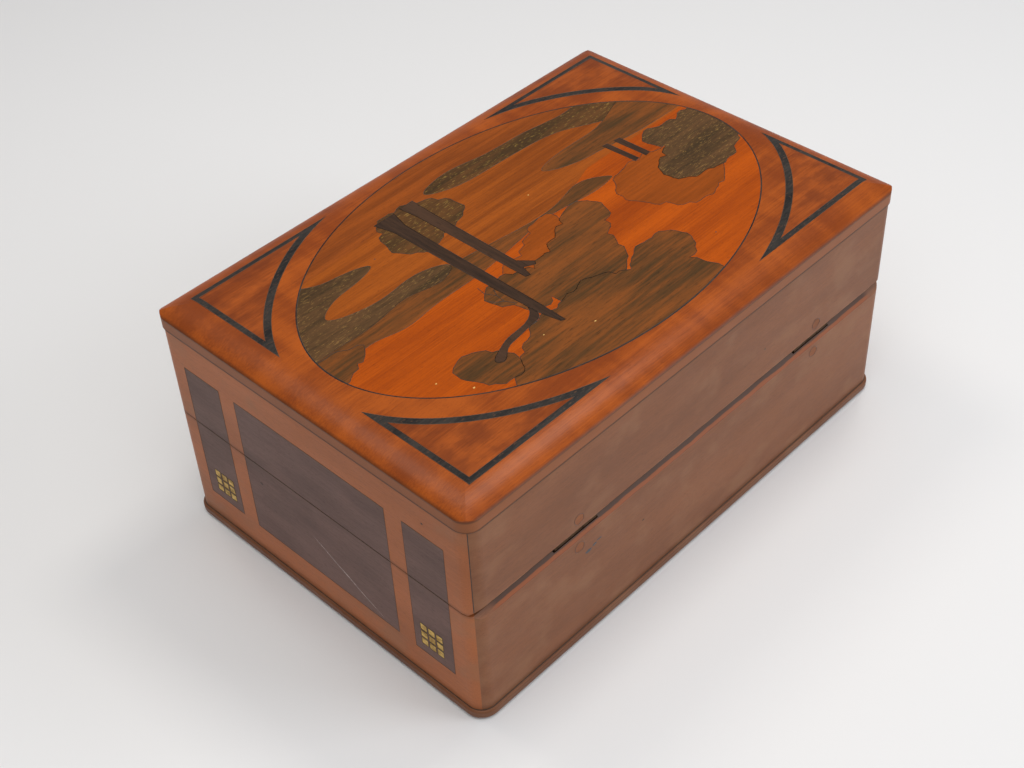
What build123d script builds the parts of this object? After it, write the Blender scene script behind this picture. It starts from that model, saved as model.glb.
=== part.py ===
from build123d import *
from math import cos, pi, sin, sqrt
import os

# Wooden puzzle box: a hinged marquetry casket with a hidden sliding lock.
# Millimetres, +Z up. The origin is the middle of the underside. The front is at -Y, the hinges at +Y.

# Driving dimensions of the case
LENGTH = 150.0             # over the end walls
WIDTH = 101.2              # over the front and back walls
WALL = 7.0
CORNER_R = 4.0             # rounding of the upright corners
BOTTOM_THICK = 2.8
BOTTOM_PROUD = 0.7
SEAM_Z = 35.2              # where the lid meets the base
SEAM_GAP = 0.2
WALL_TOP_Z = 61.4
TOP_PROUD = 0.2
TOP_CORNER_R = 3.8
TOP_BAND = 3.1             # upright part of the top board's edge
ROLL_WIDE = 9.0            # soft roll from the edge to the flat
ROLL_HIGH = 2.5
ROLL_POWER = 0.8           # 0.5 gives an ellipse, 1 a parabola with a crisp lower edge
ROLL_POINTS = 8
FLOOR_Z = 6.1              # underside of the inner floor
FLOOR_THICK = 2.0
LINING = 2.0               # board that covers the lock inside the front wall

# Hinge line
LID_CHAMFER = 2.2
BASE_CHAMFER = 1.4
PIVOT_DEPTH = 1.8
HINGE_X = (42.0, -45.0)
HINGE_LONG = 14.0
BARREL_R = 0.8
HINGE_PIN_R = 0.35
PIN_PLAY = 0.03
BARREL_ROOM = 0.2
LEAF_THICK = 0.6
LEAF_HIGH = 9.0
KNUCKLE_GAP = 0.15
PLUG_R = 1.5
PLUG_DEEP = 1.2
LEAF_PIN_R = 0.6
LEAF_PIN_DEEP = 6.0
LID_PLUG_RISE = 5.2        # plug centres above and below the seam
BASE_PLUG_DROP = 3.9

# Lock: a finger slide under the base moves a bar with two hooks in the front wall
LOCK_TRAVEL = 6.0
PLAY = 0.3
CHANNEL_DEEP = 2.6         # wood left in front of the bar's channel
BAR_Z = (22.3, 29.3)
BAR_HALF = 53.0
STEM_HALF = 8.0
HOOK_X = (-38.0, 38.0)
HOOK_THICK = 1.8
HOOK_POST = 6.0
HOOK_NOSE = 4.0
HOOK_TOP_Z = SEAM_Z + 5.8
HOOK_ROOT = 2.0            # from the bar's underside to the hook's foot
HOOK_SET = 0.7             # from the bar's face to the hook
NOSE_HIGH = 2.7
KEEPER_R = 0.9
KEEPER_RISE = 1.9          # above the seam
SLIDE_THICK = 2.6
SLIDE_HALF = 34.0
SLIDE_BACK_Y = -16.0
TAIL_X = (-55.0, -34.0)
TAIL_Y = (-26.0, -18.0)
NOTCH_DEEP = 4.4
PAD = (16.0, 11.0)         # finger pad under the base
PAD_Y = -30.0
PAD_LOW_Z = 0.5
RIB_PITCH = 2.6
RIB_GROOVE = (1.2, 0.7)    # width and depth

# Key: the left end's centre panel slides sideways behind its frame
KEY_TRAVEL = 5.0
KEY_SKIN = 1.0             # how far the key panel lies behind the end's face
KEY_THICK = 2.8
KEY_LAP = 1.5              # how far it reaches behind the frame
KEY_LOW_Z = 9.8
ARM_HALF = 6.0
TOOTH_X = (-46.3, -43.9)
TOOTH_REST_Y = -17.0
GRIP_Y = 14.0              # finger groove in the key panel
GRIP_Z = (18.0, 28.0)

# Dark panels let into the ends and the front
INLAY_DEEP = 0.6
PANEL_LOW_Z = 11.2
PANEL_HIGH_Z = 52.2
END_CENTRE = (-24.9, 24.9)
END_NARROW = (30.4, 42.9)
FRONT_CENTRE = (-42.0, 42.0)
FRONT_NARROW = (47.5, 64.0)
GOLD_PITCH = 2.5
GOLD_BLOCK = 2.05
GOLD_Z = 17.4
GOLD_SHIFT = -0.5

# Inlay of the lid's top
VENEER_DEEP = 1.1
FRAME_CENTRE = (-1.7, -0.8)
FRAME_HALF = (69.3, 45.2)
STRING_WIDE = 1.4
OVAL_CENTRE = (-2.0, -1.5)
OVAL_HALF = (66.3, 43.2)
OVAL_STRING = 0.35
TOOTH = 1.3                # spacing and depth of the teeth along a leafy outline
BITE = 0.4
LEAST_VENEER = 0.8         # square millimetres; nothing smaller is cut
ARCH_CENTRE = (-1.7, -1.0)
ARCH_HALF = (72.0, 48.7)
ARCH_STRING = 1.8

HX = LENGTH / 2
HY = WIDTH / 2
INNER_X = HX - WALL
INNER_Y = HY - WALL
BASE_TOP_Z = SEAM_Z - SEAM_GAP / 2
LID_LOW_Z = SEAM_Z + SEAM_GAP / 2
BAND_Z = WALL_TOP_Z + TOP_BAND
TOP_Z = BAND_Z + ROLL_HIGH
VENEER_Z = TOP_Z - VENEER_DEEP
PIVOT_Y = HY - PIVOT_DEPTH
LEAF_Y = PIVOT_Y - BARREL_R + LEAF_THICK / 2
FLOOR_TOP_Z = FLOOR_Z + FLOOR_THICK
CHANNEL_Y = -HY + CHANNEL_DEEP
BAR_Y = (CHANNEL_Y + PLAY, -INNER_Y - PLAY)
HOOK_Y = (BAR_Y[0] + HOOK_SET, BAR_Y[0] + HOOK_SET + HOOK_THICK)
SLIDE_Y = (BAR_Y[0], SLIDE_BACK_Y)
SLIDE_Z = (BOTTOM_THICK + PLAY, BOTTOM_THICK + PLAY + SLIDE_THICK)
KEY_X = (-HX + KEY_SKIN, -HX + KEY_SKIN + KEY_THICK)
KEY_Y = (END_CENTRE[0] - KEY_LAP, END_CENTRE[1] + KEY_TRAVEL + KEY_LAP)
KEY_Z = (KEY_LOW_Z, BASE_TOP_Z - 0.1)


def block(x, y, z):
    """A box from its low and high limits along each axis."""
    size = Box(x[1] - x[0], y[1] - y[0], z[1] - z[0])
    return Pos((x[0] + x[1]) / 2, (y[0] + y[1]) / 2, (z[0] + z[1]) / 2) * size


def rounded_block(half_x, half_y, radius, low, high):
    return Pos(0, 0, low) * extrude(RectangleRounded(2 * half_x, 2 * half_y, radius), high - low)


def rod(start, end, radius):
    """A round rod between two points on a line parallel to an axis."""
    a = Vector(*start)
    b = Vector(*end)
    return extrude(Plane(origin=a, z_dir=b - a) * Circle(radius), (b - a).length)


def joined(pieces):
    whole = pieces[0]
    for piece in pieces[1:]:
        whole = whole + piece
    return whole


def save(name, *solids):
    shape = solids[0] if len(solids) == 1 else Compound(children=list(solids))
    export_step(shape, f"parts/{name}.step")


# Walls: two rings, each of four boards mitred at the corners

def wall_ring(low, high):
    return rounded_block(HX, HY, CORNER_R, low, high) - block(
        (-INNER_X, INNER_X), (-INNER_Y, INNER_Y), (low, high)
    )


def mitre_wedge(side, low, high):
    """The region of one wall between its two mitres, as a prism."""
    far_x = INNER_X + 2 * WALL
    far_y = INNER_Y + 2 * WALL
    if side in ("front", "back"):
        points = [(-INNER_X, INNER_Y), (INNER_X, INNER_Y), (far_x, far_y), (-far_x, far_y)]
    else:
        points = [(INNER_X, -INNER_Y), (INNER_X, INNER_Y), (far_x, far_y), (far_x, -far_y)]
    prism = Pos(0, 0, low) * extrude(make_face(Polyline(*points, close=True)), high - low)
    if side == "front":
        return mirror(prism, Plane.XZ)
    if side == "left":
        return mirror(prism, Plane.YZ)
    return prism


def back_groove(chamfer, way):
    """The bevel that makes one half of the V groove at the back: way is 1 in the lid, -1 in the base."""
    edge = SEAM_Z + way * SEAM_GAP / 2
    inner = HY - chamfer
    over = WALL
    far = inner + over
    points = [(inner, edge), (far, edge + way * over), (far, edge - way), (inner, edge - way)]
    face = Plane.YZ * make_face(Polyline(*points, close=True))
    return extrude(face, LENGTH, both=True)


def hinge_rebates():
    """Room in both rims for the hinge barrels."""
    half = HINGE_LONG / 2 + PLAY
    return joined([
        rod((x - half, PIVOT_Y, SEAM_Z), (x + half, PIVOT_Y, SEAM_Z), BARREL_R + BARREL_ROOM)
        for x in HINGE_X
    ])


def leaf_slots(up):
    """Kerfs for the hinge leaves, the holes for their pins and the plugs' sockets."""
    z = (SEAM_Z - 0.5, SEAM_Z + LEAF_HIGH) if up else (SEAM_Z - LEAF_HIGH, SEAM_Z + 0.5)
    pin_z = SEAM_Z + LID_PLUG_RISE if up else SEAM_Z - BASE_PLUG_DROP
    cuts = []
    for x in HINGE_X:
        half = HINGE_LONG / 2
        cuts.append(block((x - half, x + half), (LEAF_Y - LEAF_THICK / 2, LEAF_Y + LEAF_THICK / 2), z))
        cuts.append(rod((x, HY - LEAF_PIN_DEEP, pin_z), (x, HY, pin_z), LEAF_PIN_R))
        cuts.append(rod((x, HY - PLUG_DEEP, pin_z), (x, HY + 1, pin_z), PLUG_R))
    return joined(cuts)


# Dark panels and gold blocks let into the walls

def end_inlay(way, y, z, deep=INLAY_DEEP):
    x = sorted((way * (HX - deep), way * HX))
    return block(x, y, z)


def front_inlay(x, z, deep=INLAY_DEEP):
    return block(x, (-HY, -HY + deep), z)


def mirrored(span):
    return (-span[1], -span[0])


def gold_blocks(way):
    """Three by three small gold blocks low down in both narrow panels of one end."""
    pieces = []
    for middle in (sum(END_NARROW) / 2 + GOLD_SHIFT, -sum(END_NARROW) / 2 - GOLD_SHIFT):
        for row in (-1, 0, 1):
            for column in (-1, 0, 1):
                y = middle + column * GOLD_PITCH
                z = GOLD_Z + row * GOLD_PITCH
                half = GOLD_BLOCK / 2
                pieces.append(end_inlay(way, (y - half, y + half), (z - half, z + half), INLAY_DEEP / 2))
    return pieces


def case_panels():
    """Every flush dark panel and gold group: name to list of solids."""
    upper = (LID_LOW_Z, PANEL_HIGH_Z)
    lower = (PANEL_LOW_Z, BASE_TOP_Z)
    groups = {}
    for name, way in (("right", 1), ("left", -1)):
        groups[f"{name}_lid_centre_panel"] = [end_inlay(way, END_CENTRE, upper)]
        groups[f"{name}_lid_narrow_panels"] = [
            end_inlay(way, span, upper) for span in (END_NARROW, mirrored(END_NARROW))
        ]
        gold = gold_blocks(way)
        groups[f"{name}_gold_blocks"] = gold
        groups[f"{name}_base_narrow_panels"] = [
            end_inlay(way, span, lower) - joined(gold) for span in (END_NARROW, mirrored(END_NARROW))
        ]
    groups["right_base_centre_panel"] = [end_inlay(1, END_CENTRE, lower)]
    spans = (FRONT_CENTRE, FRONT_NARROW, mirrored(FRONT_NARROW))
    groups["front_lid_panels"] = [front_inlay(span, upper) for span in spans]
    groups["front_base_panels"] = [front_inlay(span, lower) for span in spans]
    return groups


# The top board with its soft rolled edge

def roll_line(edge):
    """The roll's outline from the top of the band, at a distance out from the middle, to the flat."""
    points = []
    for i in range(ROLL_POINTS + 1):
        t = 1 - cos(pi / 2 * i / ROLL_POINTS)
        rise = (1 - (1 - t) ** 2) ** ROLL_POWER
        points.append((edge - ROLL_WIDE * t, BAND_Z + ROLL_HIGH * rise))
    return Spline(*points)


def rolled_slab(plane, half, reach):
    """The board's section between its two rolled edges, drawn out past both ends."""
    right = roll_line(half)
    left = mirror(right, Plane.YZ)
    flat = Line(right @ 1, left @ 1)
    low = Polyline(left @ 0, (-half, WALL_TOP_Z), (half, WALL_TOP_Z), right @ 0)
    return extrude(plane * make_face(Curve() + [right, flat, left, low]), reach, both=True)


def top_blank():
    """The board before the inlay: its four rolls meet in ridges at the corners."""
    half_x = HX + TOP_PROUD
    half_y = HY + TOP_PROUD
    plan = rounded_block(half_x, half_y, TOP_CORNER_R, WALL_TOP_Z, TOP_Z + 1)
    return rolled_slab(Plane.XZ, half_x, HY + WALL) & rolled_slab(Plane.YZ, half_y, HX + WALL) & plan


# The picture: a lake with trees, in veneers cut to fit each other

def leafy(points, bow=0.2):
    """A closed outline of bowed sides with small uneven teeth, like the edge of a tree's crown."""
    area = sum(a[0] * b[1] - b[0] * a[1] for a, b in zip(points, points[1:] + points[:1]))
    way = 1 if area > 0 else -1
    outline = []
    for a, b in zip(points, points[1:] + points[:1]):
        along = (b[0] - a[0], b[1] - a[1])
        length = sqrt(along[0] ** 2 + along[1] ** 2)
        outward = (way * along[1] / length, -way * along[0] / length)
        teeth = max(2, round(length / TOOTH))
        for i in range(teeth):
            t = i / teeth
            uneven = sin(37 * a[0] + 19 * a[1] + 5 * i)
            out = 4 * bow * length * t * (1 - t) + BITE * uneven * (1 if i else 0)
            outline.append((a[0] + t * along[0] + out * outward[0], a[1] + t * along[1] + out * outward[1]))
    return make_face(Polyline(*outline, close=True))


def angular(points):
    return make_face(Polyline(*points, close=True))


def smooth(points):
    return make_face(Spline(*points, periodic=True))


def oval(centre, half):
    return Pos(*centre) * Ellipse(half[0], half[1])


def scene_outlines():
    """The picture's pieces from the nearest to the farthest; each is cut away from those after it."""
    return [
        ("tall_trunk", angular([(16.9, 24.6), (18.0, 24.2), (19.1, 18.6), (19.6, 5.0), (20.0, -28.0),
                                (21.4, -33.6), (14.8, -33.6), (16.2, -28.0), (16.5, 0.0), (16.6, 14.0)])),
        ("low_branch", smooth([(19.0, 14.2), (21.0, 17.4), (25.0, 18.9), (30.6, 19.4), (34.0, 20.6),
                               (37.4, 23.2), (36.6, 23.9), (32.8, 21.9), (29.0, 20.9), (23.4, 20.2),
                               (19.0, 17.6)])),
        ("branch_leaves", leafy([(33.0, 25.4), (35.6, 29.6), (39.6, 29.2), (42.6, 27.6), (44.6, 24.6),
                                 (46.4, 21.0), (45.0, 17.2), (41.2, 16.0), (37.6, 17.6),
                                 (35.8, 20.0), (32.8, 23.8)], 0.12)),
        ("short_trunk", angular([(8.5, -28.0), (8.8, 1.6), (6.0, 5.0), (6.7, 6.0), (9.5, 4.6), (10.4, 7.8),
                                 (11.7, 7.4), (11.9, -28.0), (12.6, -34.0), (8.2, -34.0)])),
        ("shrub", leafy([(1.4, -24.4), (3.2, -21.4), (7.2, -19.6), (12.4, -18.8), (17.0, -17.0),
                         (21.6, -18.2), (24.8, -21.4), (24.6, -26.2), (22.0, -29.8), (20.6, -33.4), (14.4, -33.8),
                         (8.4, -32.6), (3.8, -29.4)], 0.18)),
        ("crown_leaves", leafy([(-18.8, 46.0), (-18.4, 31.4), (-22.4, 29.8), (-25.0, 26.6), (-23.6, 21.4),
                                (-18.4, 20.0), (-11.0, 20.8), (-6.4, 24.0), (-2.6, 22.4), (0.6, 19.6),
                                (8.6, 19.4), (15.2, 20.6), (21.0, 20.2), (26.4, 22.6), (31.0, 25.4),
                                (35.4, 28.8), (41.0, 32.4), (44.0, 46.0)], 0.14)),
        ("middle_leaves", leafy([(-8.2, 21.0), (-11.4, 15.6), (-12.8, 11.0), (-16.4, 7.0), (-20.6, 3.2),
                                 (-18.6, -2.4), (-13.4, -3.0), (-8.8, 0.4), (-3.6, 2.6), (1.0, 5.4),
                                 (8.0, 7.0), (13.0, 4.6), (19.0, 3.4), (22.8, 5.0), (23.4, 9.4), (20.8, 12.4),
                                 (17.0, 18.0), (13.0, 16.6), (10.4, 21.0)], 0.2)),
        ("light_leaves", leafy([(-10.0, -4.6), (-5.4, -5.4), (-1.0, -3.0), (3.2, -1.0), (6.6, 1.4),
                                (13.8, 2.2), (16.6, 6.6), (6.0, 8.0), (-6.0, 4.0)], 0.2)),
        ("left_dark_crown", leafy([(-74.0, 9.0), (-65.6, 8.8), (-61.0, 11.2), (-55.4, 13.4), (-49.0, 12.4),
                                   (-43.4, 11.0), (-40.4, 7.0), (-41.6, 2.6), (-46.8, 1.0), (-50.2, -2.0),
                                   (-47.8, -6.0), (-50.0, -9.6), (-55.6, -8.8), (-61.0, -7.6), (-66.2, -8.6),
                                   (-74.0, -7.0)], 0.16)),
        ("left_trunks", angular([(-45.4, -3.2), (-43.6, -3.0), (-43.2, -13.4), (-45.2, -13.2)])
         + angular([(-41.6, -3.6), (-40.0, -3.4), (-39.5, -14.0), (-41.2, -13.8)])),
        ("left_light_crown", leafy([(-54.0, 12.6), (-51.4, 15.8), (-46.0, 18.2), (-40.2, 19.4), (-35.2, 17.8),
                                    (-31.6, 13.4), (-28.0, 9.2), (-26.6, 4.0), (-29.4, -0.8), (-34.6, -3.4),
                                    (-40.8, -3.0), (-47.0, -2.4), (-53.0, 0.0)], 0.16)),
        ("right_clump", leafy([(52.6, -3.2), (54.6, -0.6), (57.8, 0.4), (60.4, 2.0), (68.0, 2.6),
                               (68.0, -5.2), (56.0, -4.6)], 0.14)),
        ("flecked_shore", smooth([(70.0, -5.6), (58.0, -6.8), (46.0, -6.6), (34.0, -7.8), (24.0, -6.4),
                                  (20.0, -8.8), (24.0, -11.6), (36.0, -12.0), (46.0, -12.8), (52.4, -16.2),
                                  (48.0, -19.2), (38.0, -20.8), (32.6, -22.8), (38.0, -25.2), (46.0, -27.0),
                                  (54.0, -32.0), (68.0, -26.0)])),
        ("far_shore", smooth([(-31.0, -3.4), (-24.0, -2.6), (-10.0, -4.2), (2.0, -3.2), (20.0, -1.2),
                              (34.0, -1.0), (43.0, -0.4), (50.0, -2.0), (58.0, -1.2), (72.0, -1.6),
                              (72.0, -7.6), (50.0, -9.0), (30.0, -9.0), (8.0, -7.4), (-16.0, -6.6),
                              (-30.0, -5.0)])),
        ("spit", smooth([(-76.0, -11.4), (-60.0, -11.2), (-48.0, -11.8), (-38.0, -13.2), (-27.0, -15.2),
                         (-21.8, -18.2), (-30.0, -20.4), (-46.0, -21.0), (-74.0, -20.8)])),
        ("near_bank", smooth([(-72.0, -18.6), (-58.0, -19.8), (-48.0, -21.8), (-38.0, -26.6), (-26.0, -28.6),
                              (-12.0, -29.2), (0.0, -31.0), (4.4, -33.6), (-2.0, -36.0), (-16.0, -34.6),
                              (-32.0, -33.4), (-46.0, -31.8), (-64.0, -31.0)])),
        ("foreground", angular([(-80.0, -31.6), (-16.0, -31.6), (10.0, -31.6), (34.0, -30.4), (80.0, -27.6),
                                (80.0, -60.0), (-80.0, -60.0)])),
        ("lake", angular([(-80.0, -10.4), (-30.0, -10.6), (-12.0, -4.4), (80.0, -4.4), (80.0, -60.0),
                          (-80.0, -60.0)])),
        ("sky", angular([(-80.0, -60.0), (80.0, -60.0), (80.0, 60.0), (-80.0, 60.0)])),
    ]


def veneers(face):
    """The veneers of one outline, as thick as the pocket that they lie in."""
    pieces = [piece for piece in face.faces() if piece.area > LEAST_VENEER]
    return [Pos(0, 0, VENEER_Z) * extrude(piece, VENEER_DEEP) for piece in pieces]


def picture():
    """Every piece of the picture and the thin stringing round it: name to list of veneers."""
    field = oval(OVAL_CENTRE, (OVAL_HALF[0] - OVAL_STRING, OVAL_HALF[1] - OVAL_STRING))
    pieces = {"oval_stringing": veneers(oval(OVAL_CENTRE, OVAL_HALF) - field)}
    for name, outline in scene_outlines():
        pieces[name] = veneers(outline & field)
        field = field - outline
    return pieces


def corner_faces():
    """The outlines of the four corner fillings and of the black stringing round each."""
    long, short = 2 * FRAME_HALF[0], 2 * FRAME_HALF[1]
    frame = Pos(*FRAME_CENTRE) * Rectangle(long, short)
    inside = Pos(*FRAME_CENTRE) * Rectangle(long - 2 * STRING_WIDE, short - 2 * STRING_WIDE)
    arch = oval(ARCH_CENTRE, ARCH_HALF)
    outer_arch = oval(ARCH_CENTRE, (ARCH_HALF[0] + ARCH_STRING, ARCH_HALF[1] + ARCH_STRING))
    whole = frame - arch
    fillings = inside - outer_arch
    return whole, fillings, whole - fillings


# Hinges let into kerfs, with plugs over their pins

def knuckle(x, length, bore):
    start = (x - length / 2, PIVOT_Y, SEAM_Z)
    end = (x + length / 2, PIVOT_Y, SEAM_Z)
    return rod(start, end, BARREL_R) - rod(start, end, bore)


def hinge_leaf(x, up):
    """One leaf of a butt hinge: the lid's has the middle knuckle, the base's the two outer ones."""
    half = HINGE_LONG / 2
    step = HINGE_LONG / 3
    start = BARREL_R + KNUCKLE_GAP
    z = (SEAM_Z + start, SEAM_Z + LEAF_HIGH) if up else (SEAM_Z - LEAF_HIGH, SEAM_Z - start)
    y = (LEAF_Y - LEAF_THICK / 2, LEAF_Y + LEAF_THICK / 2)
    pin_z = SEAM_Z + LID_PLUG_RISE if up else SEAM_Z - BASE_PLUG_DROP
    middles = [0.0] if up else [-step, step]
    long = step - KNUCKLE_GAP
    bore = HINGE_PIN_R + (PIN_PLAY if up else 0.0)
    solid = block((x - half, x + half), y, z)
    for offset in middles:
        neck_z = (SEAM_Z, z[0] + 0.2) if up else (z[1] - 0.2, SEAM_Z)
        neck = block((x + offset - long / 2, x + offset + long / 2), y, neck_z)
        bored = neck - rod((x - half, PIVOT_Y, SEAM_Z), (x + half, PIVOT_Y, SEAM_Z), bore)
        solid = solid + knuckle(x + offset, long, bore) + bored
    return solid - rod((x, y[0] - 1, pin_z), (x, y[1] + 1, pin_z), LEAF_PIN_R)


def hinge_parts():
    """Both hinges, their fixings and the plugs over those: name to list of solids."""
    half = HINGE_LONG / 2
    socket_y = HY - PLUG_DEEP
    pins = [rod((x - half, PIVOT_Y, SEAM_Z), (x + half, PIVOT_Y, SEAM_Z), HINGE_PIN_R) for x in HINGE_X]
    parts = {
        "hinge_base_leaves": [hinge_leaf(x, False) for x in HINGE_X],
        "hinge_lid_leaves": [hinge_leaf(x, True) for x in HINGE_X],
        "hinge_pins": pins,
    }
    for body, z in (("base", SEAM_Z - BASE_PLUG_DROP), ("lid", SEAM_Z + LID_PLUG_RISE)):
        parts[f"{body}_leaf_pins"] = [
            rod((x, HY - LEAF_PIN_DEEP, z), (x, socket_y, z), LEAF_PIN_R) for x in HINGE_X
        ]
        parts[f"{body}_hinge_plugs"] = [rod((x, socket_y, z), (x, HY, z), PLUG_R) for x in HINGE_X]
    return parts


# The hidden lock

def lock_bar():
    """The bar with its stem, which stands on the finger slide."""
    bar = block((-BAR_HALF, BAR_HALF), BAR_Y, BAR_Z)
    bar = bar + block((-STEM_HALF, STEM_HALF), BAR_Y, (SLIDE_Z[1], BAR_Z[0] + 1))
    for x in HOOK_X:
        span = (x - HOOK_POST / 2, x + HOOK_POST / 2)
        bar = bar - block(span, HOOK_Y, (BAR_Z[0] + HOOK_ROOT, BAR_Z[1] + 1))
    return bar


def lock_hooks():
    hooks = []
    for x in HOOK_X:
        half = HOOK_POST / 2
        post = block((x - half, x + half), HOOK_Y, (BAR_Z[0] + HOOK_ROOT, HOOK_TOP_Z))
        nose = block((x + half - 1, x + half + HOOK_NOSE), HOOK_Y, (HOOK_TOP_Z - NOSE_HIGH, HOOK_TOP_Z))
        hooks.append(post + nose)
    return hooks


def finger_slide():
    """The plate between the two bottoms, with a notched tail that the key's tooth can block."""
    plate = block((-SLIDE_HALF, SLIDE_HALF), SLIDE_Y, SLIDE_Z)
    plate = plate + block((TAIL_X[0], TAIL_X[1] + 1), TAIL_Y, SLIDE_Z)
    for shift in (0.0, -LOCK_TRAVEL):
        x = (TOOTH_X[0] - PLAY + shift, TOOTH_X[1] + PLAY + shift)
        plate = plate - block(x, (TAIL_Y[1] - NOTCH_DEEP, TAIL_Y[1] + 1), SLIDE_Z)
    return plate


def finger_pad():
    """The ribbed pad that a fingertip finds in the window under the base."""
    half_x = PAD[0] / 2
    y = (PAD_Y - PAD[1] / 2, PAD_Y + PAD[1] / 2)
    pad = block((-half_x, half_x), y, (PAD_LOW_Z, SLIDE_Z[0]))
    half = RIB_GROOVE[0] / 2
    for i in range(-2, 3):
        x = i * RIB_PITCH
        pad = pad - block((x - half, x + half), y, (PAD_LOW_Z, PAD_LOW_Z + RIB_GROOVE[1]))
    return pad


def keeper_pins():
    """Brass pins across the lid's mortises, which the hooks slide over."""
    reach = HOOK_POST / 2 + LOCK_TRAVEL + 1.6
    z = SEAM_Z + KEEPER_RISE
    return [rod((x + reach, -HY + 2.0, z), (x + reach, -INNER_Y, z), KEEPER_R) for x in HOOK_X]


def hook_slots(low, high, margin, extra):
    """Slots that the hooks stand in: in the base's rim and, longer, in the lid's."""
    cuts = []
    for x in HOOK_X:
        half = HOOK_POST / 2
        span = (x - half - margin, x + half + LOCK_TRAVEL + extra)
        cuts.append(block(span, (HOOK_Y[0] - 0.6, HOOK_Y[1] + 0.3), (low, high)))
    return joined(cuts)


def front_wall_lock_room():
    """The channel for the bar, the groove for its stem and the pocket for the slide's edge."""
    inner = -INNER_Y + 1
    channel = block((-BAR_HALF - PLAY, BAR_HALF + LOCK_TRAVEL + PLAY), (CHANNEL_Y, inner),
                    (BAR_Z[0] - PLAY, BAR_Z[1] + PLAY))
    groove = block((-STEM_HALF - PLAY, STEM_HALF + LOCK_TRAVEL + PLAY), (CHANNEL_Y, inner),
                   (BOTTOM_THICK, BAR_Z[0]))
    pocket = block((-SLIDE_HALF - PLAY, SLIDE_HALF + LOCK_TRAVEL + PLAY), (CHANNEL_Y, inner),
                   (BOTTOM_THICK, SLIDE_Z[1] + PLAY))
    return joined([channel, groove, pocket, hook_slots(BAR_Z[1], SEAM_Z, PLAY, PLAY)])


# The key

def key_panel():
    panel = block((KEY_X[0] + 0.1, KEY_X[1]), KEY_Y, KEY_Z)
    grip_x = KEY_X[0] - 0.8
    grip = rod((grip_x, GRIP_Y, GRIP_Z[0]), (grip_x, GRIP_Y, GRIP_Z[1]), 1.6)
    return panel - grip


def key_arm():
    """The leg below the key panel and the foot with the tooth, between the two bottoms."""
    leg = block(KEY_X, (-ARM_HALF, ARM_HALF), (SLIDE_Z[0], KEY_Z[0]))
    foot = block((KEY_X[0], TOOTH_X[1]), (-ARM_HALF, ARM_HALF), SLIDE_Z)
    tooth = block(TOOTH_X, (TOOTH_REST_Y, 0), SLIDE_Z)
    return leg + foot + tooth


def key_room():
    """The window, pocket and slots in the left end wall."""
    window = block((-HX - 1, KEY_X[0] + 0.2), END_CENTRE, (PANEL_LOW_Z, BASE_TOP_Z + 1))
    x = (KEY_X[0], KEY_X[1] + 0.2)
    y = (KEY_Y[0] - KEY_TRAVEL - PLAY, KEY_Y[1] + PLAY)
    pocket = block(x, y, (KEY_Z[0] - 0.2, BASE_TOP_Z + 1))
    arm_y = (-ARM_HALF - KEY_TRAVEL - PLAY, ARM_HALF + PLAY)
    leg_slot = block(x, arm_y, (BOTTOM_THICK, KEY_Z[0]))
    foot_slot = block((KEY_X[0], -INNER_X + 1), arm_y, (BOTTOM_THICK, SLIDE_Z[1] + PLAY))
    return joined([window, pocket, leg_slot, foot_slot])


# Bottom, floor and linings

def bottom_board():
    """The board under the base, with the window that the finger pad moves in."""
    board = rounded_block(HX + BOTTOM_PROUD, HY + BOTTOM_PROUD, CORNER_R + BOTTOM_PROUD, 0, BOTTOM_THICK)
    board = fillet(board.edges().group_by(Axis.Z)[0], 1.2)
    board = fillet(board.edges().group_by(Axis.Z)[-1], 0.6)
    x = (-PAD[0] / 2 - 1, PAD[0] / 2 + LOCK_TRAVEL + 1)
    y = (PAD_Y - PAD[1] / 2 - 0.5, PAD_Y + PAD[1] / 2 + 0.5)
    return board - block(x, y, (-1, BOTTOM_THICK + 1))


def floor_runners():
    """Strips that carry the inner floor; the middle one also guides the finger slide."""
    z = (BOTTOM_THICK, FLOOR_Z)
    return [
        block((-38.0, 62.0), (SLIDE_Y[1] + PLAY, SLIDE_Y[1] + 5.0), z),
        block((-INNER_X, INNER_X), (INNER_Y - 6.0, INNER_Y), z),
        block((INNER_X - 5.0, INNER_X), (-INNER_Y, INNER_Y - 6.0), z),
        block((-INNER_X, -INNER_X + 5.0), (ARM_HALF + 3.0, INNER_Y - 6.0), z),
    ]


def floor_panel():
    return block((-INNER_X, INNER_X), (-INNER_Y, INNER_Y), (FLOOR_Z, FLOOR_TOP_Z))


def lock_cover():
    return block((-INNER_X, INNER_X), (-INNER_Y, -INNER_Y + LINING), (FLOOR_TOP_Z, BASE_TOP_Z))


def save_walls(panels):
    """Both rings of walls, cut for the inlays, the hinges, the lock and the key."""
    lid_cuts = [back_groove(LID_CHAMFER, 1), hinge_rebates(), leaf_slots(True)]
    lid_cuts.append(hook_slots(SEAM_Z, HOOK_TOP_Z + 0.8, PLAY, 4.9))
    lid_cuts += keeper_pins()
    base_cuts = [back_groove(BASE_CHAMFER, -1), hinge_rebates(), leaf_slots(False)]
    base_cuts += [front_wall_lock_room(), key_room()]
    for name, pieces in panels.items():
        cuts = lid_cuts if "lid" in name else base_cuts
        cuts += pieces

    rings = (("lid", LID_LOW_Z, WALL_TOP_Z, lid_cuts), ("base", BOTTOM_THICK, BASE_TOP_Z, base_cuts))
    for ring_name, low, high, cuts in rings:
        ring = wall_ring(low, high)
        for cut in cuts:
            ring = ring - cut
        for side in ("front", "back", "right", "left"):
            save(f"{ring_name}_{side}_wall", ring & mitre_wedge(side, low, high))


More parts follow.
